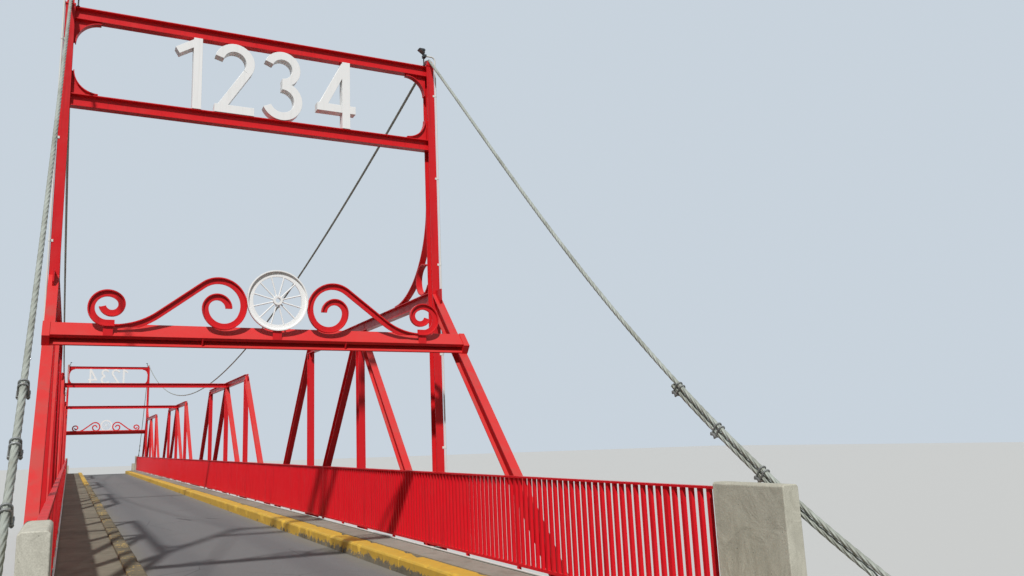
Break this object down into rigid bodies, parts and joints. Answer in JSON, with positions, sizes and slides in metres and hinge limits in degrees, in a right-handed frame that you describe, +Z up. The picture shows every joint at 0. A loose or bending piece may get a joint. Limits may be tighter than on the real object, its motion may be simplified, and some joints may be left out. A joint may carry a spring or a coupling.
{
  "type": "steel truss road bridge with portal towers, half-size model",
  "caption": "Half-size model of a red steel road bridge: trussed side girders, portal towers with open sign frames, scrolls and a spoked wheel, main cables and bar railings.",
  "frame": {"origin": "centre of the underside of the middle pier, on the floor", "axes": "+X across the road, +Y along the road towards the far tower, +Z up"},
  "size_m": [2.92, 33.814, 5.765],
  "materials": {
    "red_paint": "semi-gloss, lightly weathered",
    "white_paint": "semi-gloss",
    "steel_strand": "dull stranded",
    "galvanised_steel": "dull",
    "concrete": "weathered",
    "kerb_paint": "worn paint on concrete",
    "asphalt": "rough",
    "dark_fitting": "matt"
  },
  "bodies": {
    "root": {"truss_left_1": "red_paint", "truss_left_2": "red_paint", "truss_left_3": "red_paint", "truss_left_4": "red_paint", "truss_right_1": "red_paint", "truss_right_2": "red_paint", "truss_right_3": "red_paint", "truss_right_4": "red_paint", "tower_near_left": "red_paint", "tower_near_right": "red_paint", "tower_far_left": "red_paint", "tower_far_right": "red_paint", "sign_frame_near": "red_paint", "sign_frame_far": "red_paint", "portal_beam_near": "red_paint", "portal_beam_far": "red_paint", "portal_scrolls_near": "red_paint", "portal_scrolls_far": "red_paint", "portal_wheel_near": "white_paint", "portal_wheel_far": "white_paint", "tower_brackets": "red_paint", "top_struts": "red_paint", "cable_saddles": "red_paint", "cable_left": "steel_strand", "cable_right": "steel_strand", "cable_clamps": "galvanised_steel", "cable_anchors": "galvanised_steel", "anchor_blocks": "concrete", "railing_left_1": "red_paint", "railing_left_2": "red_paint", "railing_left_3": "red_paint", "railing_right_1": "red_paint", "railing_right_2": "red_paint", "railing_right_3": "red_paint", "pilasters": "concrete", "deck_slab": "concrete", "road_surface": "asphalt", "kerb_left": "kerb_paint", "kerb_right": "kerb_paint", "sidewalk": "concrete", "ledge": "concrete", "cross_girders": "red_paint", "stringers": "red_paint", "bearings": "galvanised_steel", "pier_1": "concrete", "pier_2": "concrete", "pier_3": "concrete", "abutment_near": "concrete", "abutment_far": "concrete", "tower_lamps": "dark_fitting", "conduits": "white_paint"}
  },
  "joints": []
}
